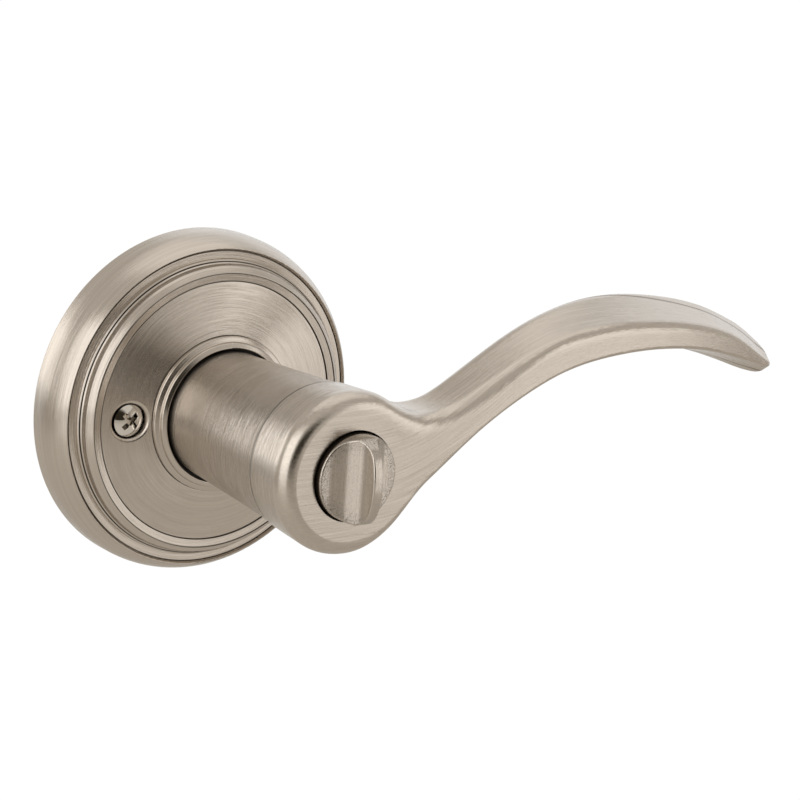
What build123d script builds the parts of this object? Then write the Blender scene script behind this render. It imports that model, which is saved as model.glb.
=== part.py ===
from build123d import *
import math
import os

# Inside half of a privacy door lever: stepped rose, flared neck, wave lever and thumb turn, with the works
# inside.
# The origin is the centre of the rose's back, on the door's face. +X runs along the lever, +Z is up, and the
# spindle's axis is Y, with -Y out of the door. A depth is a distance out of the door's face: depth d lies at
# y = -d, and a negative depth is inside the door. All sizes are millimetres.

# Rose cover, from the door outwards
ROSE_RADIUS = 33.2
ROSE_WALL = 1.2
SIDE_DEPTH = 6.5
SIDE_CURVE = 10.0
RIM_RADIUS = 30.95
RIM_DEPTH = 9.35
GROOVE_RADIUS = 29.0
GROOVE_DEPTH = 8.75
STEP_RADIUS = 28.75
STEP_DEPTH = 9.6
COVE_RADIUS = 28.1
COVE_DEPTH = 11.0
BEAD_RADIUS = 27.05
BEAD_DEPTH = 12.2
LAND_RADIUS = 26.8
LAND_DEPTH = 12.1
CONE_RADIUS = 25.22
CONE_DEPTH = 11.85
CONE_HOLE_RADIUS = 15.3
CONE_HOLE_DEPTH = 13.6
LINE_WIDTH = 0.2
LINE_DEPTH = 0.4

# Fixing screws: machine screws of 4.17 mm on the usual spacing
SCREW_SPACING = 38.9
SCREW_RADIUS = 2.08
SCREW_LENGTH = 24.0
SCREW_THREAD = 6.2
SCREW_SHANK_RADIUS = 1.85
SCREW_HEAD_RADIUS = 3.1
SCREW_HEAD_HEIGHT = 3.6
SCREW_DOME_RISE = 0.9
SCREW_SEAT_DEPTH = 9.4
SCREW_COUNTERBORE = 3.4
SCREW_HOLE_RADIUS = 3.4
SCREW_HOLE_ROUND = 0.65
RECESS_WIDTH = 1.1
RECESS_SPAN = 4.0
RECESS_DEPTH = 1.6
RECESS_TURN = 42

# Chassis behind the rose, with a pilot drum for the 54 mm door bore
PILOT_RADIUS = 26.0
PILOT_DEPTH = -6.5
FLANGE_RADIUS = 31.4
FLANGE_THICKNESS = 1.8
TOWER_RADIUS = 24.3
TOWER_DEPTH = 10.2
CHAMBER_RADIUS = 16.4
CHAMBER_DEPTH = 5.6
PLATE_RADIUS = 25.6
PLATE_THICKNESS = 1.5
PLATE_SCREW_CIRCLE = 22.3
PLATE_SCREW_RADIUS = 1.25
PLATE_SCREW_LENGTH = 6.0
PLATE_SCREW_HEAD = 2.2

# Collar and its bearing
COLLAR_RADIUS = 15.2
COLLAR_BORE = 14.0
COLLAR_LIP_RADIUS = 13.05
COLLAR_DEPTH = 15.85
COLLAR_FLANGE = 15.9
BEARING_BORE = 12.6

# Neck, head and thumb turn along the spindle's axis
NECK_RADIUS = 12.55
NECK_START = 6.8
NECK_STRAIGHT_END = 16.0
NECK_FLARE = [(12.9, 23.0), (13.3, 30.0), (13.75, 37.0)]
NECK_BORE = 9.65
HEAD_BACK_RADIUS = 14.75
HEAD_FRONT_RADIUS = 15.6
HEAD_BACK = 47.2
HEAD_FRONT = 59.0
HEAD_ROUND = 3.2
SEAM_ROUND = 0.15
SEAM_GAP = 0.3
POCKET_RADIUS = 8.65
POCKET_FLOOR = 51.0
SPIGOT_RADIUS = 9.6
SPIGOT_START = 12.0
SPIGOT_BORE = 6.0
WEB_BACK = 44.8
SET_SCREW_DEPTH = 26.0
SET_SCREW_RADIUS = 2.45

# Arm of the lever seen from the front: heights of its edges along x, chosen where the curve bends
ARM_TIP = 105.5
ARM_TIP_HEIGHT = 9.5
LOWER_EDGE = [(-6, -14.4), (-3, -15.31), (0, -15.6), (3, -15.31), (6, -14.2), (10, -11.1), (15, -5.2),
              (20, -0.8), (28, 5.5), (37, 10.9), (48, 15.2), (60, 16.8), (72, 16.7), (83, 15.2),
              (90, 13.45), (96, 11.6), (100, 10.3), (103, 9.3), (105, 8.7)]
CREASE = [(-6, 14.4), (-3, 15.31), (0, 15.6), (3, 15.31), (6, 14.4), (10, 12.0), (14, 10.0), (18, 9.6),
          (23, 10.8), (30, 14.2), (37, 18.0), (45, 21.1), (56, 22.4), (66, 22.0), (77, 20.8),
          (88, 18.3), (96, 14.95), (100, 12.35), (103, 10.4), (105, 9.35)]
UPPER_EDGE = [(-6, 13.47), (-3, 14.44), (0, 14.75), (3, 14.44), (6, 13.47), (10, 11.5), (14, 10.1),
              (18, 10.1), (23, 11.7), (30, 16.0), (38, 20.7), (47, 24.5), (57, 26.7), (67, 26.9),
              (78, 25.3), (88, 22.7), (96, 19.2), (100, 16.9), (103, 14.3), (105, 12.0)]
# Thickness of the head and the arm from front to back, and belly below the lower edge, at the back
ARM_THICKNESS = [(-6, 11.8), (0, 11.8), (16, 11.8), (40, 11.9), (60, 12.4), (80, 11.2), (95, 8.0),
                 (100, 6.2), (103, 4.6), (105, 2.6)]
ARM_BELLY = [(-6, -0.93), (-3, -0.87), (0, -0.85), (3, -0.87), (6, -0.9), (12, -0.4), (24, 0),
             (40, 0.2), (60, 0.8), (74, 1.5), (85, 2.0), (96, 2.75), (100, 3.05), (103, 2.8),
             (105, 2.0)]
# Backward sweep of its front
ARM_SWEEP_START = 29.0
ARM_SWEEP = 10.0
# Setback of the rounding at each corner of its section
FRONT_TOP_ROUND = [(-6, HEAD_ROUND), (0, HEAD_ROUND), (6, HEAD_ROUND), (12, 3.0), (22, 2.6), (36, 2.2),
                   (50, 1.9), (80, 1.5), (96, 1.0), (103, 0.35), (105, 0.2)]
FRONT_LOW_ROUND = [(-6, HEAD_ROUND), (0, HEAD_ROUND), (6, HEAD_ROUND), (10, 2.8), (20, 1.6), (36, 1.0),
                   (90, 0.6), (103, 0.35), (105, 0.2)]
BACK_ROUND = [(-6, SEAM_ROUND), (0, SEAM_ROUND), (9, SEAM_ROUND), (18, 2.4), (36, 3.6), (70, 3.4),
              (92, 2.4), (103, 1.5), (105, 0.9)]
ARM_STATIONS = [-6, -3, 0, 3, 6, 9, 12, 15, 18.5, 22.5, 27, 32, 38, 45, 53, 61, 69, 77, 84, 90, 95, 99,
                102, 104]

# Thumb turn
BUTTON_RADIUS = 8.25
BUTTON_BACK = 51.6
BUTTON_CROWN = 67.0
BUTTON_EDGE = 61.0
BUTTON_BAR_HALF = 1.0
FLANK_RADIUS = 5.5
FLANK_FLOOR = 60.4
BUTTON_ROUND = 0.35
STEM_RADIUS = 3.05
STEM_TAIL_RADIUS = 2.9
STEM_END = 33.0
SQUARE_HALF = 2.18
SQUARE_START = 39.1
SQUARE_END = 43.3
CLIP_GROOVE_RADIUS = 2.4
CLIP_START = 43.8
CLIP_THICKNESS = 0.8
BAR_WIDTH = 4.2
BAR_THICKNESS = 1.5
BAR_START = -39.0
BAR_END = 38.3
PIN_RADIUS = 0.6
PIN_DEPTH = 35.8

# Spindle, cam and spring
SPINDLE_RADIUS = 5.95
SPINDLE_FRONT = 36.0
SPINDLE_BORE = 3.3
SPINDLE_FLAT = 4.9
SHOULDER_RADIUS = 7.4
SHOULDER_START = 5.3
SHOULDER_END = 6.6
TROUGH_RADIUS = 4.75
TROUGH_START = -34.0
TROUGH_TOP = 1.0
CIRCLIP_START = -4.35
CIRCLIP_THICKNESS = 0.8
CAM_RADIUS = 15.2
CAM_START = 2.6
CAM_END = 5.2
CAM_HUB_RADIUS = 9.0
CAM_HUB_START = -3.4
LUG_INNER = 12.4
LUG_OUTER = 14.2
LUG_HALF = 1.6
POST_INNER = 14.6
PEG_INNER = 13.6
PEG_HALF = 1.8
LEVER_SWING = 48.0
WIRE_RADIUS = 0.75
COIL_RADIUS = 10.9
COIL_START = -2.6
COIL_END = 1.6
COIL_TURNS = 2
LEG_BEND = 2.0
LEG_END = 15.9

RUNNING = 0.05
TIGHT = 0.02
AXIAL = Plane((0, 0, 0), x_dir=(1, 0, 0), z_dir=(0, 0, -1))
BACKWARDS = Axis((0, 0, 0), (0, -1, 0))


def across(depth):
    """Plane square to the spindle at this depth: local x is +X, local y is +Z, normal out of the door."""
    return Plane((0, -depth, 0), x_dir=(1, 0, 0), z_dir=(0, -1, 0))


def disc(radius, start, end, at=(0, 0)):
    """Round bar along the spindle's axis between two depths."""
    return extrude(across(start) * Pos(*at) * Circle(radius), amount=end - start)


def tube(outer, inner, start, end):
    """Ring along the spindle's axis between two depths."""
    return disc(outer, start, end) - disc(inner, start - 1, end + 1)


def block(low, high, start, end):
    """Box between two (x, z) corners and two depths."""
    width, height = high[0] - low[0], high[1] - low[1]
    centre = Pos(low[0] + width / 2, low[1] + height / 2)
    return extrude(across(start) * centre * Rectangle(width, height), amount=end - start)


def turned(*corners):
    """Solid of revolution from corners of (radius, depth, rounding)."""
    loop = FilletPolyline(*[(r, d) for r, d, _ in corners], radius=[f for _, _, f in corners], close=True)
    return revolve(AXIAL * make_face(loop), Axis.Y)


def screw_places():
    """Places of the two fixing screws, left and right of the neck."""
    return [(-SCREW_SPACING / 2, 0), (SCREW_SPACING / 2, 0)]


def plate_screw_places():
    """Places of the four plate screws, on the diagonals."""
    return [(PLATE_SCREW_CIRCLE * math.cos(a), PLATE_SCREW_CIRCLE * math.sin(a))
            for a in (math.radians(45 + 90 * i) for i in range(4))]


def sector(inner, outer, middle, half, start, end):
    """Part of a ring between two radii, about a middle angle in degrees."""
    def at(radius, angle):
        turn = math.radians(angle)
        return (radius * math.cos(turn), radius * math.sin(turn))
    low, high = middle - half, middle + half
    outline = [ThreePointArc(at(inner, low), at(inner, middle), at(inner, high)),
               Line(at(inner, high), at(outer, high)),
               ThreePointArc(at(outer, high), at(outer, middle), at(outer, low)),
               Line(at(outer, low), at(inner, low))]
    return extrude(across(start) * make_face(outline), amount=end - start)


def rose_cover():
    """Pressed shell: rounded side, groove, double step, bead, land and cone, with a hole over each screw."""
    wall = ROSE_WALL
    ledge = GROOVE_DEPTH - wall
    rim_foot = RIM_RADIUS - 0.35
    split = STEP_RADIUS - 0.08
    shell = turned(
        (ROSE_RADIUS, 0, 0.6),
        (ROSE_RADIUS, SIDE_DEPTH, SIDE_CURVE),
        (RIM_RADIUS, RIM_DEPTH, 0.12),
        (rim_foot, GROOVE_DEPTH, 0),
        (rim_foot, GROOVE_DEPTH - LINE_DEPTH, 0),
        (rim_foot - LINE_WIDTH, GROOVE_DEPTH - LINE_DEPTH, 0),
        (rim_foot - LINE_WIDTH, GROOVE_DEPTH, 0.05),
        (GROOVE_RADIUS, GROOVE_DEPTH, 0.1),
        (GROOVE_RADIUS - 0.02, STEP_DEPTH - 0.2, 0),
        (STEP_RADIUS, STEP_DEPTH, 0),
        (split, STEP_DEPTH, 0),
        (split, STEP_DEPTH - 0.3, 0),
        (split - 0.15, STEP_DEPTH - 0.3, 0),
        (split - 0.15, STEP_DEPTH + 0.15, 0),
        (split - 0.38, STEP_DEPTH + 0.38, 0.05),
        (COVE_RADIUS, COVE_DEPTH, 0.3),
        (COVE_RADIUS - 0.25, COVE_DEPTH + 0.45, 0.2),
        (BEAD_RADIUS, BEAD_DEPTH, 0.25),
        (LAND_RADIUS + 0.15, BEAD_DEPTH, 0),
        (LAND_RADIUS + 0.15, BEAD_DEPTH - LINE_DEPTH, 0),
        (LAND_RADIUS, BEAD_DEPTH - LINE_DEPTH, 0),
        (LAND_RADIUS, LAND_DEPTH, 0.05),
        (CONE_RADIUS + LINE_WIDTH, LAND_DEPTH - 0.1, 0.05),
        (CONE_RADIUS + LINE_WIDTH, CONE_DEPTH - LINE_DEPTH, 0),
        (CONE_RADIUS, CONE_DEPTH - LINE_DEPTH, 0),
        (CONE_RADIUS, CONE_DEPTH, 0.06),
        (CONE_HOLE_RADIUS, CONE_HOLE_DEPTH, 0),
        (CONE_HOLE_RADIUS, CONE_HOLE_DEPTH - wall, 0),
        (CONE_RADIUS - 0.2, CONE_DEPTH - wall, 0),
        (CONE_RADIUS + 0.6, BEAD_DEPTH - wall - 0.3, 0),
        (CONE_RADIUS + 0.9, ledge + wall, 0),
        (COVE_RADIUS - 0.2, ledge, 0),
        (RIM_RADIUS - 0.9, ledge, 0),
        (ROSE_RADIUS - wall, SIDE_DEPTH - 3.0, 0),
        (ROSE_RADIUS - wall, 0, 0),
    )
    for place in screw_places():
        shell -= disc(SCREW_HOLE_RADIUS, TOWER_DEPTH, CONE_HOLE_DEPTH + 1, place)
    rise = (CONE_HOLE_DEPTH - CONE_DEPTH) / (CONE_RADIUS - CONE_HOLE_RADIUS)
    rims = []
    for edge in shell.edges():
        spot = edge @ 0.3
        reach = math.hypot(abs(spot.X) - SCREW_SPACING / 2, spot.Z)
        outside = CONE_DEPTH + rise * (CONE_RADIUS - math.hypot(spot.X, spot.Z))
        if abs(reach - SCREW_HOLE_RADIUS) < 0.01 and abs(outside + spot.Y) < wall / 2:
            rims.append(edge)
    return fillet(rims, SCREW_HOLE_ROUND)


def mounting_screws():
    """Two machine screws with domed heads and cross recesses, whose threads stand out at the back."""
    seat, top = SCREW_SEAT_DEPTH, SCREW_SEAT_DEPTH + SCREW_HEAD_HEIGHT
    tip = seat - SCREW_LENGTH
    dome_radius = (SCREW_HEAD_RADIUS ** 2 + SCREW_DOME_RISE ** 2) / (2 * SCREW_DOME_RISE)
    cross = Rectangle(RECESS_SPAN, RECESS_WIDTH) + Rectangle(RECESS_WIDTH, RECESS_SPAN)
    cross = Rot(0, 0, RECESS_TURN) * cross
    screws = []
    for place in screw_places():
        screw = disc(SCREW_RADIUS, tip, tip + SCREW_THREAD, place)
        screw += disc(SCREW_SHANK_RADIUS, tip + 1, seat, place)
        dome = Pos(place[0], dome_radius - top, place[1]) * Sphere(dome_radius)
        head = disc(SCREW_HEAD_RADIUS, seat, top, place) & dome
        recess = extrude(across(top) * Pos(*place) * cross, amount=-RECESS_DEPTH, taper=12)
        screws.append(screw + head - recess)
    return Compound(children=screws)


def rose_chassis():
    """Die casting: flange, pilot drum for the bore, tower under the cone, spring chamber, post and peg."""
    body = disc(PILOT_RADIUS, PILOT_DEPTH, 0) + disc(FLANGE_RADIUS, 0, FLANGE_THICKNESS)
    body += disc(TOWER_RADIUS, 0, TOWER_DEPTH)
    body -= disc(CHAMBER_RADIUS, PILOT_DEPTH - 1, CHAMBER_DEPTH)
    body -= disc(COLLAR_RADIUS + TIGHT, CHAMBER_DEPTH - 1, TOWER_DEPTH + 1)
    for middle in (90, 270):
        body -= sector(CHAMBER_RADIUS + 1.6, TOWER_RADIUS - 1.5, middle, 26, PILOT_DEPTH - 1, TOWER_DEPTH - 2)
    for place in screw_places():
        body -= disc(SCREW_RADIUS + 0.12, PILOT_DEPTH - 1, TOWER_DEPTH + 1, place)
        body -= disc(SCREW_COUNTERBORE, SCREW_SEAT_DEPTH, TOWER_DEPTH + 1, place)
    for place in plate_screw_places():
        body -= disc(PLATE_SCREW_RADIUS + TIGHT, PILOT_DEPTH - 1, PILOT_DEPTH + PLATE_SCREW_LENGTH, place)
    wall = CHAMBER_RADIUS + 0.5
    body += block((-LUG_HALF, POST_INNER), (LUG_HALF, wall), PILOT_DEPTH, CAM_START - 0.4)
    body += block((-PEG_HALF, -wall), (PEG_HALF, -PEG_INNER), CAM_START - 0.4, CAM_END - 0.1)
    return body


def cover_plate():
    """Steel plate that closes the spring chamber at the back."""
    back = PILOT_DEPTH - PLATE_THICKNESS
    plate = tube(PLATE_RADIUS, SPINDLE_RADIUS + 2 * RUNNING, back, PILOT_DEPTH)
    for place in screw_places():
        plate -= disc(SCREW_RADIUS + 0.3, back - 1, PILOT_DEPTH + 1, place)
    for place in plate_screw_places():
        plate -= disc(PLATE_SCREW_RADIUS + 0.1, back - 1, PILOT_DEPTH + 1, place)
    return plate


def cover_screws():
    """Four small slotted screws that hold the cover plate."""
    back = PILOT_DEPTH - PLATE_THICKNESS
    tip = PILOT_DEPTH + PLATE_SCREW_LENGTH - 1
    screws = []
    for place in plate_screw_places():
        head = disc(PLATE_SCREW_HEAD, back - 1.4, back, place)
        head = fillet(head.edges().group_by(Axis.Y)[-1], 0.5)
        low = (place[0] - PLATE_SCREW_HEAD, place[1] - 0.3)
        high = (place[0] + PLATE_SCREW_HEAD, place[1] + 0.3)
        slot = block(low, high, back - 2, back - 0.8)
        screws.append(disc(PLATE_SCREW_RADIUS, back, tip, place) + head - slot)
    return Compound(children=screws)


def collar_bush():
    """Stepped ring pressed into the chassis, with its flange under the cone and a lip round the neck."""
    return turned(
        (COLLAR_FLANGE, TOWER_DEPTH, 0),
        (COLLAR_FLANGE, TOWER_DEPTH + 1.7, 0),
        (COLLAR_RADIUS, TOWER_DEPTH + 1.7, 0),
        (COLLAR_RADIUS, COLLAR_DEPTH - 1.4, 0.3),
        (COLLAR_RADIUS - 1.0, COLLAR_DEPTH - 1.15, 0.12),
        (COLLAR_RADIUS - 1.1, COLLAR_DEPTH - 0.5, 0.3),
        (COLLAR_LIP_RADIUS, COLLAR_DEPTH, 0.2),
        (COLLAR_LIP_RADIUS, COLLAR_DEPTH - 1.15, 0),
        (COLLAR_BORE, COLLAR_DEPTH - 1.15, 0),
        (COLLAR_BORE, CHAMBER_DEPTH + 1, 0),
        (COLLAR_RADIUS, CHAMBER_DEPTH + 1, 0),
        (COLLAR_RADIUS, TOWER_DEPTH, 0),
    )


def neck_bearing():
    """Acetal bush in the collar, with a thrust flange at its inner end."""
    flange = CHAMBER_DEPTH + 0.95
    top = COLLAR_DEPTH - 1.25
    sleeve = tube(COLLAR_BORE - 0.03, BEARING_BORE, CHAMBER_DEPTH, top)
    return sleeve + tube(COLLAR_RADIUS, BEARING_BORE, CHAMBER_DEPTH, flange)


def neck_sleeve():
    """Neck that flares to the seam behind the head, bored for the lever's spigot."""
    seam = HEAD_BACK_RADIUS - 0.15
    end = HEAD_BACK - SEAM_GAP
    flare = Spline((NECK_RADIUS, NECK_STRAIGHT_END), *NECK_FLARE, (seam, end - 0.2),
                   tangents=((0, 1), (0.16, 1)))
    outline = [Line((SPINDLE_RADIUS + 0.15, NECK_START), (NECK_RADIUS, NECK_START)),
               Line((NECK_RADIUS, NECK_START), (NECK_RADIUS, NECK_STRAIGHT_END)),
               flare,
               Line((seam, end - 0.2), (seam - 0.2, end)),
               Line((seam - 0.2, end), (NECK_BORE, end)),
               Line((NECK_BORE, end), (NECK_BORE, SPIGOT_START - 0.2)),
               Line((NECK_BORE, SPIGOT_START - 0.2), (SPINDLE_RADIUS + 0.15, SPIGOT_START - 0.2)),
               Line((SPINDLE_RADIUS + 0.15, SPIGOT_START - 0.2), (SPINDLE_RADIUS + 0.15, NECK_START))]
    neck = revolve(AXIAL * make_face(outline), Axis.Y)
    return neck - set_screw_hole(SET_SCREW_RADIUS + 0.25)


def set_screw_hole(radius):
    """Bar from the spindle down through the underside of the neck."""
    down = Plane((0, -SET_SCREW_DEPTH, 0), z_dir=(0, 0, -1))
    return extrude(down * Circle(radius), amount=HEAD_BACK_RADIUS + 2)


def along(points, x):
    """Height at x on the smooth curve through the points, with each slope taken from the neighbours."""
    last = len(points) - 1
    i = max(n for n in range(last) if points[n][0] <= x)

    def slope(n):
        (x0, z0), (x1, z1) = points[max(n - 1, 0)], points[min(n + 1, last)]
        return (z1 - z0) / (x1 - x0)
    (x0, z0), (x1, z1) = points[i], points[i + 1]
    width = x1 - x0
    t = (x - x0) / width
    start = (2 * t ** 3 - 3 * t ** 2 + 1) * z0 + (t ** 3 - 2 * t ** 2 + t) * width * slope(i)
    return start + (3 * t ** 2 - 2 * t ** 3) * z1 + (t ** 3 - t ** 2) * width * slope(i + 1)


def rounded_corner(before, corner, after, setback):
    """Arc that rounds a corner between two sides: its start, middle and end."""
    to_before = (Vector(*before) - Vector(*corner)).normalized()
    to_after = (Vector(*after) - Vector(*corner)).normalized()
    half = math.radians(to_before.get_angle(to_after)) / 2
    bisector = (to_before + to_after).normalized()
    middle = Vector(*corner) + bisector * (setback / math.cos(half) - setback * math.tan(half))
    return Vector(*corner) + to_before * setback, middle, Vector(*corner) + to_after * setback


def rounded_outline(corners, setbacks):
    """Closed outline through the corners, each rounded by an arc that starts its setback away."""
    count = len(corners)
    arcs = [rounded_corner(corners[i - 1], corners[i], corners[(i + 1) % count], setbacks[i])
            for i in range(count)]
    outline = []
    for i, (start, middle, end) in enumerate(arcs):
        if setbacks[i]:
            outline.append(ThreePointArc(start, middle, end))
        outline.append(Line(end, arcs[(i + 1) % count][0]))
    return make_face(outline)


def arm_section(x):
    """Section of the lever at x: front face, top that slopes up to the back, round back and belly."""
    front = -HEAD_FRONT
    if x > ARM_SWEEP_START:
        front += ARM_SWEEP * ((x - ARM_SWEEP_START) / (ARM_TIP - ARM_SWEEP_START)) ** 2
    back = front + along(ARM_THICKNESS, x)
    low = along(LOWER_EDGE, x)
    belly = low - along(ARM_BELLY, x)
    corners = [(front, low), (front, along(CREASE, x)), (back, along(UPPER_EDGE, x)), (back, belly)]
    back_round = along(BACK_ROUND, x)
    setbacks = [along(FRONT_LOW_ROUND, x), along(FRONT_TOP_ROUND, x), back_round, back_round]
    return Plane.YZ.offset(x) * rounded_outline(corners, setbacks)


def lever():
    """Casting: half drum and wave arm with one flat front, pocket for the thumb turn and hollow spigot."""
    corners = [(0, HEAD_BACK), (HEAD_BACK_RADIUS, HEAD_BACK)]
    corners += [(HEAD_FRONT_RADIUS, HEAD_FRONT), (0, HEAD_FRONT)]
    profile = rounded_outline(corners, [0, SEAM_ROUND, HEAD_ROUND, 0])
    upright = Plane((0, 0, 0), x_dir=(0, 0, 1), z_dir=(1, 0, 0))
    half_drum = revolve(upright * profile, BACKWARDS, revolution_arc=180)
    tip_depth = HEAD_FRONT - ARM_SWEEP - 1.5
    tip = Vertex(ARM_TIP, -tip_depth, ARM_TIP_HEIGHT)
    arm = loft([arm_section(x) for x in ARM_STATIONS] + [tip])
    arm &= block((0, -40), (ARM_TIP + 5, 40), HEAD_BACK - 15, HEAD_FRONT + 5)
    body = half_drum + arm + disc(SPIGOT_RADIUS, SPIGOT_START, HEAD_BACK + 1)
    body -= disc(POCKET_RADIUS, POCKET_FLOOR, HEAD_FRONT + 1)
    body -= disc(STEM_RADIUS + RUNNING, WEB_BACK - 1, HEAD_FRONT)
    body -= disc(SPIGOT_BORE, SPIGOT_START - 1, WEB_BACK)
    body -= block((-2.8, 0), (2.8, 6.8), SPIGOT_START - 1, SQUARE_END + 0.5)
    return body - (set_screw_hole(SET_SCREW_RADIUS + 0.03) & disc(SPIGOT_RADIUS + 1, SPIGOT_START, HEAD_BACK))


def lever_set_screw():
    """Grub screw with a hexagon socket, from the underside of the neck onto the spindle."""
    length = NECK_RADIUS - 0.3 - SPINDLE_RADIUS - RUNNING
    base = Plane((0, -SET_SCREW_DEPTH, -SPINDLE_RADIUS - RUNNING), z_dir=(0, 0, -1))
    screw = extrude(base * Circle(SET_SCREW_RADIUS), amount=length)
    socket = extrude(base.offset(length) * RegularPolygon(1.5, 6), amount=-2.2)
    return screw - socket


def turn_button():
    """Half-moon thumb bar with hollow flanks on a round base, its stem, detent square and slotted tail."""
    blank = disc(BUTTON_RADIUS, BUTTON_BACK, BUTTON_CROWN + 1)
    side = Plane((0, 0, 0), x_dir=(0, 0, 1), z_dir=(1, 0, 0))
    reach = BUTTON_RADIUS
    shoulder = 0.56 * reach
    drop = BUTTON_CROWN - 0.6
    moon = make_face([
        ThreePointArc((-reach, BUTTON_EDGE), (-0.88 * reach, BUTTON_CROWN - 2.6), (-shoulder, drop)),
        ThreePointArc((-shoulder, drop), (0, BUTTON_CROWN), (shoulder, drop)),
        ThreePointArc((shoulder, drop), (0.88 * reach, BUTTON_CROWN - 2.6), (reach, BUTTON_EDGE)),
        Polyline((reach, BUTTON_EDGE), (reach, BUTTON_BACK), (-reach, BUTTON_BACK), (-reach, BUTTON_EDGE)),
    ])
    blank &= extrude(side * moon, amount=BUTTON_RADIUS + 1, both=True)
    for way in (-1, 1):
        centre = way * (BUTTON_BAR_HALF + FLANK_RADIUS)
        hollow = Plane((centre, -FLANK_FLOOR - FLANK_RADIUS, 0), z_dir=(0, 0, 1)) * Circle(FLANK_RADIUS)
        blank -= extrude(hollow, amount=BUTTON_RADIUS + 1, both=True)
        edges = sorted((centre, way * (BUTTON_RADIUS + 1)))
        blank -= block((edges[0], -reach - 1), (edges[1], reach + 1), FLANK_FLOOR, BUTTON_CROWN + 2)
    borders = [edge for edge in blank.edges()
               if -(edge @ 0.5).Y > FLANK_FLOOR - 0.05 and edge.geom_type != GeomType.LINE]
    blank = fillet(borders, BUTTON_ROUND)
    stem = disc(STEM_RADIUS, SQUARE_END, BUTTON_BACK) - tube(STEM_RADIUS + 1, CLIP_GROOVE_RADIUS, CLIP_START,
                                                             CLIP_START + CLIP_THICKNESS)
    square = extrude(across(SQUARE_START) * RectangleRounded(2 * SQUARE_HALF, 2 * SQUARE_HALF, 0.5),
                     amount=SQUARE_END - SQUARE_START)
    tail = disc(STEM_TAIL_RADIUS, STEM_END, SQUARE_START)
    half = (BAR_THICKNESS / 2 + TIGHT, BAR_WIDTH / 2 + TIGHT)
    slot = block((-half[0], -half[1]), half, STEM_END - 1, BAR_END + 0.1)
    return blank + stem + square + tail - slot - pin_hole(PIN_RADIUS + TIGHT)


def pin_hole(radius):
    """Bar across the stem's tail at the pin's place."""
    return extrude(Plane((0, -PIN_DEPTH, 0), z_dir=(1, 0, 0)) * Circle(radius), amount=STEM_RADIUS, both=True)


def turn_bar():
    """Flat bar from the stem's slot through the spindle to the latch."""
    half = (BAR_THICKNESS / 2, BAR_WIDTH / 2)
    return block((-half[0], -half[1]), half, BAR_START, BAR_END) - pin_hole(PIN_RADIUS + TIGHT)


def turn_bar_pin():
    """Pin that holds the bar in the stem's slot."""
    length = 2 * (STEM_TAIL_RADIUS - 0.2)
    return Pos(0, -PIN_DEPTH, 0) * Rot(0, 90, 0) * Cylinder(PIN_RADIUS, length)


def button_washer():
    """Nylon friction washer under the thumb turn."""
    return tube(BUTTON_RADIUS - 0.5, STEM_RADIUS + 0.2, POCKET_FLOOR + TIGHT, BUTTON_BACK - RUNNING)


def button_e_clip():
    """Open clip in the stem's groove, behind the head's web."""
    clip = tube(4.8, CLIP_GROOVE_RADIUS + TIGHT, CLIP_START + 0.05, CLIP_START + CLIP_THICKNESS - 0.05)
    return clip - block((-1.9, -6), (1.9, 0), CLIP_START - 1, CLIP_START + 2)


def detent_clip():
    """U-shaped leaf whose legs press on the stem's square, keyed in the spigot's slot."""
    leaf = 0.4
    inner = SQUARE_HALF + TIGHT
    outer = inner + leaf
    bridge, foot = 4.0, -3.6
    outline = [Line((inner, foot), (inner, bridge)),
               ThreePointArc((inner, bridge), (0, bridge + inner), (-inner, bridge)),
               Line((-inner, bridge), (-inner, foot)),
               Line((-inner, foot), (-outer, foot)),
               Line((-outer, foot), (-outer, bridge)),
               ThreePointArc((-outer, bridge), (0, bridge + outer), (outer, bridge)),
               Line((outer, bridge), (outer, foot)),
               Line((outer, foot), (inner, foot))]
    return extrude(across(SQUARE_START + 0.1) * make_face(outline), amount=SQUARE_END - SQUARE_START - 0.3)


def drive_spindle():
    """Bored round bar with a shoulder, flats for the cam, a clip groove and a half-round trough."""
    bar = disc(SPINDLE_RADIUS, PILOT_DEPTH - PLATE_THICKNESS - 0.5, SPINDLE_FRONT)
    bar += disc(SHOULDER_RADIUS, SHOULDER_START, SHOULDER_END)
    for low, high in ((SPINDLE_FLAT, SPINDLE_RADIUS + 1), (-SPINDLE_RADIUS - 1, -SPINDLE_FLAT)):
        bar -= block((low, -SPINDLE_RADIUS), (high, SPINDLE_RADIUS), CAM_HUB_START - 0.1, SHOULDER_START)
    bar -= tube(SPINDLE_RADIUS + 1, SPINDLE_FLAT, CIRCLIP_START, CIRCLIP_START + CIRCLIP_THICKNESS)
    trough = disc(TROUGH_RADIUS, TROUGH_START, PILOT_DEPTH - PLATE_THICKNESS)
    trough -= block((-TROUGH_RADIUS, TROUGH_TOP), (TROUGH_RADIUS, TROUGH_RADIUS + 1), TROUGH_START - 1,
                    PILOT_DEPTH - PLATE_THICKNESS - 2)
    return bar + trough - disc(SPINDLE_BORE, TROUGH_START - 1, SPINDLE_FRONT + 1)


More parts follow.
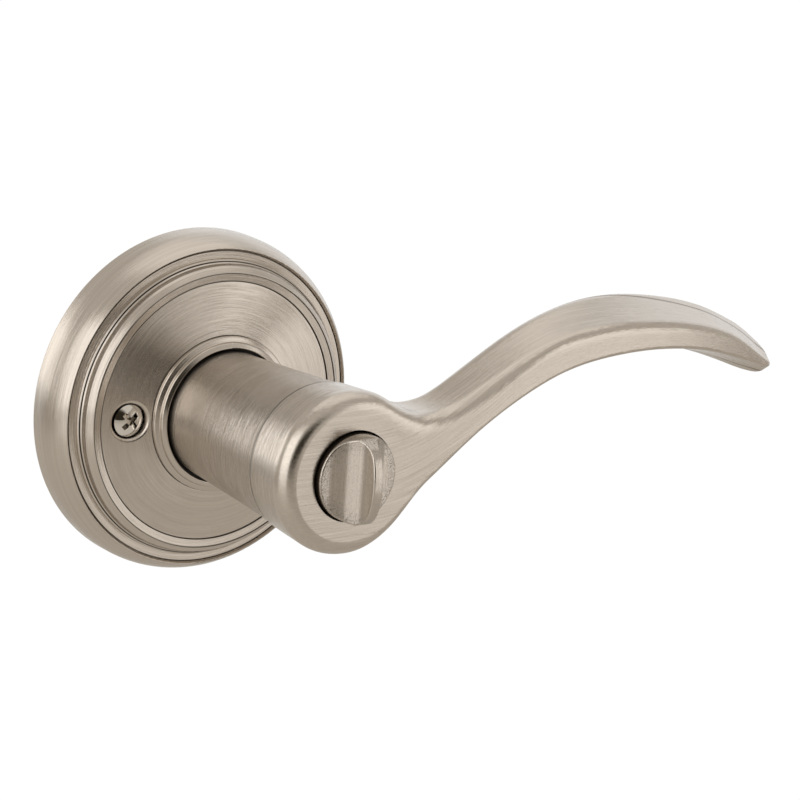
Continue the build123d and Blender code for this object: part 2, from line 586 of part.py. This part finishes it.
def spring_cam():
    """Steel driver on the spindle's flats: disc with a stop notch, hub for the coil and lug for its legs."""
    cam = disc(CAM_RADIUS, CAM_START, CAM_END) + disc(CAM_HUB_RADIUS, CAM_HUB_START, CAM_START)
    cam += block((-LUG_HALF, LUG_INNER), (LUG_HALF, LUG_OUTER), CAM_HUB_START, CAM_START)
    cam -= sector(PEG_INNER - 0.4, CAM_RADIUS + 1, 270, LEVER_SWING + 9, CAM_START - 1, CAM_END + 1)
    keyed = Circle(SPINDLE_RADIUS + TIGHT) & Rectangle(2 * (SPINDLE_FLAT + TIGHT), 2 * SPINDLE_RADIUS + 1)
    return cam - extrude(across(CAM_HUB_START - 1) * keyed, amount=CAM_END - CAM_HUB_START + 2)


def wave_washer():
    """Washer between the cam and the bearing's thrust flange."""
    return tube(LUG_OUTER + 0.5, BEARING_BORE + 0.3, CAM_END + 0.03, CHAMBER_DEPTH - 0.03)


def spindle_circlip():
    """Open ring in the spindle's groove, behind the cam's hub."""
    end = CIRCLIP_START + CIRCLIP_THICKNESS
    ring = tube(SPINDLE_RADIUS + 2, SPINDLE_FLAT + TIGHT, CIRCLIP_START + TIGHT, end - TIGHT)
    return ring - block((-1.5, -10), (1.5, 0), CIRCLIP_START - 1, CIRCLIP_START + 2)


def biarc(start, start_way, end, end_way):
    """Two arcs, tangent to each other, from one point and direction to another."""
    chord = end - start
    ways = start_way + end_way
    spread = 2 * (1 - start_way.dot(end_way))
    along_chord = chord.dot(ways)
    reach = (math.sqrt(along_chord ** 2 + spread * chord.dot(chord)) - along_chord) / spread
    joint = (start + start_way * reach + end - end_way * reach) * 0.5
    first = Edge.make_tangent_arc(start, start_way, joint)
    return [first, Edge.make_tangent_arc(joint, first % 1, end)]


def spring_path():
    """Centre line of the return spring: leg, bend, the coil's turns in quarter steps, bend and leg."""
    leg_x = LUG_HALF + WIRE_RADIUS + 0.1
    bend = (leg_x + LEG_BEND, math.sqrt((COIL_RADIUS + LEG_BEND) ** 2 - (leg_x + LEG_BEND) ** 2))
    lead = math.atan2(bend[0], bend[1])
    sweep = 2 * math.pi * COIL_TURNS - 2 * lead
    steps = 4 * COIL_TURNS

    def on_coil(n):
        angle = lead + sweep * n / steps
        depth = COIL_START + (COIL_END - COIL_START) * n / steps
        return Vector(COIL_RADIUS * math.sin(angle), -depth, COIL_RADIUS * math.cos(angle))

    def way(n):
        angle = lead + sweep * n / steps
        rise = 0 if n in (0, steps) else -(COIL_END - COIL_START) / (sweep * COIL_RADIUS)
        return Vector(math.cos(angle), rise, -math.sin(angle)).normalized()

    first, last = on_coil(0), on_coil(steps)
    right_end = Vector(leg_x, first.Y, LEG_END)
    right_bend = Vector(leg_x, first.Y, bend[1])
    left_bend = Vector(-leg_x, last.Y, bend[1])
    left_end = Vector(-leg_x, last.Y, LEG_END)
    path = [Edge.make_line(right_end, right_bend), Edge.make_tangent_arc(right_bend, (0, 0, -1), first)]
    for n in range(steps):
        path += biarc(on_coil(n), way(n), on_coil(n + 1), way(n + 1))
    path += [Edge.make_tangent_arc(last, way(steps), left_bend), Edge.make_line(left_bend, left_end)]
    return path


def return_spring():
    """Torsion spring whose two legs straddle the fixed post and the cam's lug."""
    path = spring_path()
    start = Plane(path[0] @ 0, z_dir=path[0] % 0)
    spring = sweep(start * Circle(WIRE_RADIUS), path=Wire(path))
    print("return_spring gap to itself", round(spring_gap(path), 2))
    return spring


def spring_gap(path):
    """Least clear distance between stretches of the wire that aren't neighbours along it."""
    points, travelled = [], 0.0
    for edge in path:
        for n in range(12):
            points.append((travelled + edge.length * n / 12, edge @ (n / 12)))
        travelled += edge.length
    apart = 6 * WIRE_RADIUS
    gaps = [(p - q).length for s, p in points for t, q in points if t - s > apart]
    return min(gaps) - 2 * WIRE_RADIUS


NODES = {
    "rose_cover": rose_cover,
    "rose_chassis": rose_chassis,
    "collar_bush": collar_bush,
    "neck_bearing": neck_bearing,
    "return_spring": return_spring,
    "cover_plate": cover_plate,
    "cover_screws": cover_screws,
    "mounting_screws": mounting_screws,
    "lever": lever,
    "neck_sleeve": neck_sleeve,
    "drive_spindle": drive_spindle,
    "spring_cam": spring_cam,
    "spindle_circlip": spindle_circlip,
    "wave_washer": wave_washer,
    "lever_set_screw": lever_set_screw,
    "detent_clip": detent_clip,
    "button_washer": button_washer,
    "turn_button": turn_button,
    "turn_bar": turn_bar,
    "turn_bar_pin": turn_bar_pin,
    "button_e_clip": button_e_clip,
}

os.makedirs("parts", exist_ok=True)
for node, make in NODES.items():
    export_step(make(), f"parts/{node}.step")
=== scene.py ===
import math
import bmesh
import bpy
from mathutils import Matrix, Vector

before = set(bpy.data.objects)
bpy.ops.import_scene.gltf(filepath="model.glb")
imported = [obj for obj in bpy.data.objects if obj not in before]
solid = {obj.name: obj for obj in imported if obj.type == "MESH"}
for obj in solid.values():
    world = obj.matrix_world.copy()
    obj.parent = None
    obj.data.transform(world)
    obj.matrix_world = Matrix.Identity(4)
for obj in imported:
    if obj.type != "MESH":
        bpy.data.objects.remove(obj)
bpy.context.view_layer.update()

scene = bpy.context.scene


# Camera: it stands to the left of the lever and a little above it, far off with a long lens, and leans a few
# degrees, as the photograph does.
camera = bpy.data.objects.new("camera", bpy.data.cameras.new("camera"))
camera.data.lens = 183.78
camera.data.sensor_width = 36.0
camera.data.clip_start = 0.05
camera.location = (-0.40753, -0.64111, 0.20361)
camera.rotation_euler = [math.radians(turn) for turn in (75.089, -3.957, -34.534)]
scene.collection.objects.link(camera)
scene.camera = camera


# Surround: a plain white studio. The eye sees it white, and the metal sees a dim warm room in which the
# large soft lamps stand, with a dark part in front and the white sheet behind. Shader maths is written with
# one small class of values.
class Value:
    """A value in a shader: arithmetic on it adds Math nodes, and node() adds any other node."""

    def __init__(self, tree, socket=None):
        self.tree = tree
        self.socket = socket

    def node(self, kind, settings=None, values=None, out=0):
        """Adds a node: its settings first, then the values or links of its sockets.

        Gives one of its outputs, by number or by name.
        """
        made = self.tree.nodes.new("ShaderNode" + kind)
        for name, setting in (settings or {}).items():
            if name == "points":
                curve = made.mapping.curves[0]
                curve.points[0].location = setting[0]
                curve.points[1].location = setting[-1]
                for place in setting[1:-1]:
                    curve.points.new(*place)
                made.mapping.update()
            else:
                setattr(made, name, setting)
        for name, value in (values or {}).items():
            if isinstance(value, Value):
                self.tree.links.new(value.socket, made.inputs[name])
            else:
                made.inputs[name].default_value = value
        return Value(self.tree, made.outputs[out])

    def math(self, operation, first, second=0.0):
        """Adds one Math node."""
        return self.node("Math", {"operation": operation}, {0: first, 1: second})

    def __add__(self, other):
        return self.math("ADD", self, other)

    def __sub__(self, other):
        return self.math("SUBTRACT", self, other)

    def __mul__(self, other):
        return self.math("MULTIPLY", self, other)

    def __pow__(self, other):
        return self.math("POWER", self, other)

    def __rsub__(self, other):
        return self.math("SUBTRACT", other, self)

    __radd__ = __add__
    __rmul__ = __mul__


def along_axis(value, place, axis):
    """How far a place lies along an axis."""
    return value.node("VectorMath", {"operation": "DOT_PRODUCT"}, {0: place, 1: axis}, out="Value")


def fade(value, at, none, full, kind="SMOOTHSTEP"):
    """Share that goes from 0 at one value to 1 at another, softly or in a straight line."""
    return value.node("MapRange", {"interpolation_type": kind},
                      {"Value": at, "From Min": none, "From Max": full})


def blend(value, share, first, second):
    """Mix of two colours, whose sockets on the node are numbers 6 and 7, and whose result is number 2."""
    return value.node("Mix", {"data_type": "RGBA"}, {0: share, 6: first, 7: second}, out=2)


white = (1.0, 1.0, 1.0, 1.0)
room_warm = (0.56, 0.522, 0.466, 1.0)
room_dark = (0.026, 0.021, 0.014, 1.0)
sheet_brightness = 0.85
world = bpy.data.worlds.new("studio")
scene.world = world
world.use_nodes = True
room = Value(world.node_tree)
facing = room.node("TexCoord", out="Generated")


def patch(axis, inner, outer):
    """Share of a round patch of the room, full within the inner angle and nothing past the outer one."""
    near = along_axis(room, facing, axis)
    return fade(room, near, math.cos(math.radians(outer)), math.cos(math.radians(inner)))


sheet_behind = patch(axis=(0.754, 0.633, 0.174), inner=18.0, outer=40.0)
dark_front = patch(axis=(-0.21, -0.97, 0.12), inner=15.0, outer=31.0)
seen = room.node("LightPath", out="Is Camera Ray")
mirrored = room.node("LightPath", out="Is Glossy Ray")
clear = room.node("LightPath", out="Is Transmission Ray")
walls = blend(room, dark_front, room_warm, room_dark)
reflected = room.math("MAXIMUM", mirrored, clear) * sheet_behind * sheet_brightness
tint = blend(room, room.math("MAXIMUM", seen, reflected), walls, white)
world.node_tree.links.new(tint.socket, world.node_tree.nodes["Background"].inputs["Color"])


# Floor: a pale paper sheet well below the lever, far enough that it takes only a faint shadow. The eye sees
# it white, and the metal sees its far part lit.
floor_reach, floor_height = 3.0, -0.42
sheet = bmesh.new()
bmesh.ops.create_grid(sheet, x_segments=1, y_segments=1, size=floor_reach)
bmesh.ops.translate(sheet, vec=(0.0, 0.0, floor_height), verts=sheet.verts)
floor_mesh = bpy.data.meshes.new("floor")
sheet.to_mesh(floor_mesh)
sheet.free()
floor = bpy.data.objects.new("floor", floor_mesh)
scene.collection.objects.link(floor)
pale = bpy.data.materials.new("pale_floor")
pale.use_nodes = True
paper = Value(pale.node_tree)
paper_shader = pale.node_tree.nodes["Principled BSDF"]
paper_shader.inputs["Base Color"].default_value = (0.70, 0.675, 0.64, 1.0)
paper_shader.inputs["Roughness"].default_value = 0.9
glow = paper.node("Emission", values={"Color": white, "Strength": 1.02})
away_from_eye = (0.57, 0.82, 0.0)
far_off = along_axis(paper, paper.node("TexCoord", out="Object"), away_from_eye)
far_part = fade(paper, far_off, none=0.3, full=1.3)
far_brightness, eye_share = 0.55, 0.985
in_metal = paper.node("LightPath", out="Is Glossy Ray") * far_part * far_brightness
viewed = paper.math("MAXIMUM", paper.node("LightPath", out="Is Camera Ray"), in_metal)
plain_paper = Value(pale.node_tree, paper_shader.outputs["BSDF"])
shown = paper.node("MixShader", values={0: viewed * eye_share, 1: plain_paper, 2: glow})
pale.node_tree.links.new(shown.socket, pale.node_tree.nodes["Material Output"].inputs["Surface"])
floor_mesh.materials.append(pale)


# Lamps: a large soft box at the left with a dimmer one under it, a smaller one behind it, one at the right of
# the camera and one above, as for metal ware.
lamp_aim = Vector((0.03, -0.03, 0.0))


def soft_box(name, turn, lift, far, width, height, radiance, colour=(1.0, 0.99, 0.975)):
    """Area lamp of a given brightness, aimed at the lever and hidden from the eye. Turn is from +Y to +X."""
    lamp = bpy.data.lights.new(name, "AREA")
    lamp.shape = "RECTANGLE"
    lamp.size = width
    lamp.size_y = height
    lamp.energy = radiance * math.pi * width * height
    lamp.color = colour
    box = bpy.data.objects.new(name, lamp)
    turn, lift = math.radians(turn), math.radians(lift)
    away = Vector((math.sin(turn) * math.cos(lift), math.cos(turn) * math.cos(lift), math.sin(lift)))
    box.location = lamp_aim + away * far
    box.rotation_euler = away.to_track_quat("Z", "Y").to_euler()
    box.visible_camera = False
    scene.collection.objects.link(box)


soft_box("left_box", turn=-110.0, lift=18.0, far=1.1, width=1.12, height=1.0, radiance=0.88)
soft_box("low_box", turn=-113.0, lift=-18.0, far=1.1, width=1.10, height=0.5, radiance=0.45)
soft_box("rear_box", turn=-33.0, lift=9.0, far=1.3, width=0.85, height=0.65, radiance=0.9)
soft_box("right_box", turn=135.0, lift=-2.0, far=1.2, width=0.76, height=1.10, radiance=0.58)
soft_box("top_box", turn=60.0, lift=75.0, far=1.1, width=1.20, height=1.10, radiance=0.36,
         colour=(1.0, 0.985, 0.965))
scene.view_settings.view_transform = "Standard"


# Chassis: a zinc die casting behind the rose that carries the screws, the spring and the bearing. It is left
# as cast, dull grey with a faint mottle and fine pits.
def new_finish(name, metallic, roughness):
    """A material, its shader and a value to build on, with the colour still to be set."""
    material = bpy.data.materials.new(name)
    material.use_nodes = True
    shader = material.node_tree.nodes["Principled BSDF"]
    shader.inputs["Metallic"].default_value = metallic
    shader.inputs["Roughness"].default_value = roughness
    return material, shader, Value(material.node_tree)


def feed(shader, name, value):
    """Links a value to one socket of a shader."""
    value.tree.links.new(value.socket, shader.inputs[name])


def wear(node, material):
    """Gives a solid its finish."""
    for place in solid[node].material_slots:
        place.material = material


def noise(value, at, scale, detail=3.0, rough=0.55):
    """Noise from 0 to 1 at a place, with the scale in cycles a metre."""
    return value.node("TexNoise", values={"Vector": at, "Scale": scale, "Detail": detail, "Roughness": rough})


def unbrushed(name, dark, light, metallic, roughness, grain, depth):
    """Unbrushed metal or plastic: a faint mottle in its colour and roughness, and a fine grain."""
    material, shader, value = new_finish(name, metallic, roughness)
    at = value.node("TexCoord", out="Object")
    mottle_scale, pit_scale = grain * 0.3, grain * 3.0
    smoothest, swing = roughness * 0.75, roughness * 0.5
    mottle = noise(value, at, mottle_scale)
    feed(shader, "Base Color", blend(value, mottle, dark, light))
    feed(shader, "Roughness", smoothest + mottle * swing)
    pits = noise(value, at, pit_scale, detail=5.0)
    feed(shader, "Normal", value.node("Bump", values={"Strength": 0.5, "Distance": depth, "Height": pits}))
    return material


zinc = unbrushed("zinc_casting", dark=(0.34, 0.34, 0.345, 1.0), light=(0.47, 0.47, 0.475, 1.0),
                 metallic=0.9, roughness=0.48, grain=700.0, depth=0.00006)
wear("rose_chassis", zinc)


# Works: the zinc-plated plate with its screws, the spindle, cam and lock bar, the dark spring steel of the
# springs, clips and pins, the black acetal bearing round the neck and the nylon washer under the thumb turn.
# Most of it is inside. The plate and what goes into the door show from behind.
plated = unbrushed("plated_steel", dark=(0.56, 0.56, 0.57, 1.0), light=(0.68, 0.68, 0.69, 1.0),
                   metallic=1.0, roughness=0.30, grain=900.0, depth=0.00002)
sprung = unbrushed("spring_steel", dark=(0.17, 0.17, 0.18, 1.0), light=(0.26, 0.26, 0.27, 1.0),
                   metallic=1.0, roughness=0.34, grain=900.0, depth=0.00002)
acetal = unbrushed("black_acetal", dark=(0.012, 0.012, 0.012, 1.0), light=(0.022, 0.022, 0.022, 1.0),
                   metallic=0.0, roughness=0.55, grain=900.0, depth=0.00003)
nylon = unbrushed("white_nylon", dark=(0.76, 0.75, 0.70, 1.0), light=(0.84, 0.83, 0.79, 1.0),
                  metallic=0.0, roughness=0.50, grain=900.0, depth=0.00003)
wear("neck_bearing", acetal)
wear("button_washer", nylon)
for node in ("cover_plate", "cover_screws", "drive_spindle", "spring_cam", "turn_bar"):
    wear(node, plated)
for node in ("return_spring", "wave_washer", "spindle_circlip", "lever_set_screw", "detent_clip",
             "turn_bar_pin", "button_e_clip"):
    wear(node, sprung)


# Rose, collar and neck: turned or pressed brass, nickel plated and brushed on a lathe, so that the fine lines
# run round the spindle. Shade is painted dark into the rose's turned lines, with some polish dirt in them,
# and onto the neck's ends, in the seam behind the head and inside the collar.
nickel_dark = (0.580, 0.532, 0.482, 1.0)
nickel_light = (0.705, 0.653, 0.597, 1.0)
# Dark colour, and added roughness, of the painted shade in grooves, seams and the thumb turn's pocket, which
# also serves for polish dirt and specks.
shade_and_polish_colour = (0.050, 0.040, 0.030, 1.0)
shade_and_polish_roughness = 0.3
lay_radius = 0.03
groove_depth = 0.00001
# Radii of the rose's turned lines, and how dark the painted shade in each is.
rose_shade_rings = ((0.03050, 0.7), (0.02860, 0.75), (0.02687, 0.45), (0.02532, 0.8))
ring_half = 0.0001
neck_seam, neck_seam_half = -0.0469, 0.00022
collar_middle, collar_half = -0.0115, 0.0042


def place_of(value):
    """The three Object coordinates of a place, in metres."""
    spot = value.node("TexCoord", out="Object")
    return [value.node("SeparateXYZ", values={0: spot}, out=axis) for axis in "XYZ"]


def radius_of(x, z):
    """Distance from the spindle's axis."""
    return (x * x + z * z) ** 0.5


def brushed(name, lays, roughness, spread, crevice=None, cast=0.0):
    """Satin nickel with fine lines.

    Lays is a function that gives, for each way that the brush went, its share of the surface, the way along
    and the two ways across. Spread is how deep the brush cut, for each way. Crevice is a function that gives
    the share of painted shade in grooves, seams and recesses, with polish dirt and specks where there are
    any.
    Cast is how much grain of the casting still shows.
    """
    material, shader, value = new_finish(name, 1.0, roughness)
    ways = lays(value)

    def lines(cross_scale, long_scale, detail, cut):
        """Noise drawn out along each way, with the scales in cycles a metre."""
        contrast, offset = 2.2, 0.6
        total = 0.0
        for (share, along, across_a, across_b), depth in zip(ways, cut):
            spot = value.node("CombineXYZ", values={"X": along * long_scale, "Y": across_a * cross_scale,
                                                    "Z": across_b * cross_scale})
            streak = noise(value, spot, 1.0, detail=detail, rough=0.6) * contrast - offset
            total = streak * share * depth + total
        return total

    even = [1.0] * len(spread)
    broad = lines(cross_scale=1500.0, long_scale=10.0, detail=3.0, cut=even)
    narrow = lines(cross_scale=3400.0, long_scale=25.0, detail=2.0, cut=even)
    hair = lines(cross_scale=11000.0, long_scale=60.0, detail=1.0, cut=spread)
    cloud = noise(value, value.node("TexCoord", out="Object"), scale=60.0, detail=2.0)
    colour = blend(value, broad * 0.4 + narrow * 0.6, nickel_dark, nickel_light)
    rough = roughness - 0.06 + cloud * 0.05 + narrow * 0.06
    # Painted shade, with polish dirt and specks where given, darkens the colour there.
    if crevice:
        shade_and_dirt_share = crevice(value)
        colour = blend(value, shade_and_dirt_share, colour, shade_and_polish_colour)
        rough = rough + shade_and_dirt_share * shade_and_polish_roughness
    feed(shader, "Base Color", colour)
    feed(shader, "Roughness", rough)
    grooves = hair + narrow * 0.35 + broad * 0.25
    if cast:
        grain = noise(value, value.node("TexCoord", out="Object"), scale=4200.0, detail=2.0)
        grooves = grooves + grain * cast
    feed(shader, "Normal", value.node("Bump", values={"Strength": 1.0, "Distance": groove_depth,
                                                      "Filter Width": 0.1, "Height": grooves}))
    return material


def ring(value, at, middle, half):
    """Share of a narrow band about a middle value, soft at its edges."""
    off = value.math("ABSOLUTE", at - middle)
    return fade(value, off, half * 1.6, half * 0.6)


def turned_lay(value):
    """Lay of turned pieces: along is the way round the spindle, across are the radius and the depth."""
    x, y, z = place_of(value)
    return [(1.0, value.math("ARCTAN2", z, x) * lay_radius, radius_of(x, z), y)]


def rose_line_shade(value):
    """Share of painted shade, with some polish dirt, in the rose's fine turned lines, by radius: at the foot
    of the rim, in the double step, in the land and round the cone."""
    x, _, z = place_of(value)
    radius = radius_of(x, z)
    share = 0.0
    for middle, darkness in rose_shade_rings:
        share = ring(value, radius, middle, ring_half) * darkness + share
    return share


def neck_end_shade(value):
    """Share of painted shade on the neck's end in the seam behind the head, and on its part inside the
    collar.
    """
    y = place_of(value)[1]
    in_seam = ring(value, y, neck_seam, neck_seam_half) * 0.6
    in_collar = ring(value, y, collar_middle, collar_half)
    return value.math("MAXIMUM", in_seam, in_collar)


wear("rose_cover", brushed("rose_nickel", turned_lay, roughness=0.19, spread=[1.3], crevice=rose_line_shade))
wear("collar_bush", brushed("collar_nickel", turned_lay, roughness=0.18, spread=[0.6]))
wear("neck_sleeve", brushed("neck_nickel", turned_lay, roughness=0.20, spread=[2.2], crevice=neck_end_shade))


# Fixing screws: bright nickel-plated machine screws with cross recesses, which go through the rose and the
# chassis into the outside half.
bright = unbrushed("bright_screw", dark=(0.84, 0.81, 0.77, 1.0), light=(0.92, 0.89, 0.85, 1.0),
                   metallic=1.0, roughness=0.06, grain=700.0, depth=0.000001)
wear("mounting_screws", bright)


# Lever: a die casting, plated, then brushed round its head and lengthwise along the arm, so that the lines
# follow the wave. Its head sits on the neck, with a fine seam between them.
arm_scale = 9.524
wave_height = 0.025
arm_wave = [(0.0, 0.0), (0.08, 0.02), (0.14, 0.09), (0.19, 0.19), (0.27, 0.37), (0.35, 0.57),
            (0.46, 0.73), (0.57, 0.77), (0.69, 0.75), (0.79, 0.68), (0.90, 0.54), (1.0, 0.36)]
head_side_ends = (0.0174, 0.0162)
head_front_starts = (-0.0566, -0.0552)
head_seam, head_seam_half = -0.0472, 0.0002


def lever_lays(value):
    """Lays of the lever: round the spindle on the side of its head, and elsewhere along its length, with the
    height over its middle line and the depth as the ways across."""
    x, y, z = place_of(value)
    radius = radius_of(x, z)
    side = fade(value, radius, *head_side_ends) * fade(value, y, *head_front_starts)
    wave = value.node("FloatCurve", {"points": arm_wave}, {"Factor": 1.0, "Value": x * arm_scale})
    round_head = (side, value.math("ARCTAN2", z, x) * lay_radius, radius, y)
    along_arm = (1.0 - side, x, z - wave * wave_height, y)
    return [round_head, along_arm]


def head_back_shade(value):
    """Share of painted shade on the head's back face in the seam behind it."""
    y = place_of(value)[1]
    return ring(value, y, head_seam, head_seam_half) * 0.5


wear("lever", brushed("lever_nickel", lever_lays, roughness=0.18, spread=[1.5, 0.8], crevice=head_back_shade))


# Thumb turn: a small casting with hollow flanks, plated and brushed along its bar, which turns in a pocket of
# the head. Some of the casting's grain still shows, and the polish left dark specks. Its round side in the
# pocket is painted dark as shade.
turn_wall_starts = (0.00806, 0.00820)
turn_front_ends = (-0.0602, -0.0599)
turn_edge = (0.0050, 0.0080)
speck_range = (0.46, 0.64)


def turn_lay(value):
    """Lay of the thumb turn: along is its height, across are its width and depth."""
    x, y, z = place_of(value)
    return [(1.0, z, x, y)]


def turn_side_shade_and_specks(value):
    """Painted shade on the thumb turn's round side in its pocket, and dark specks that grow towards its edge.
    """
    x, y, z = place_of(value)
    radius = radius_of(x, z)
    wall = fade(value, radius, *turn_wall_starts, "LINEAR") * fade(value, y, *turn_front_ends, "LINEAR")
    specks = noise(value, value.node("TexCoord", out="Object"), scale=5500.0, detail=3.0, rough=0.7)
    specks = fade(value, specks, *speck_range, "LINEAR")
    edge = fade(value, radius, *turn_edge)
    return value.math("MAXIMUM", wall, specks * (edge * 0.6 + 0.22))


wear("turn_button", brushed("turn_nickel", turn_lay, roughness=0.16, spread=[0.4], crevice=turn_side_shade_and_specks,
                            cast=1.2))
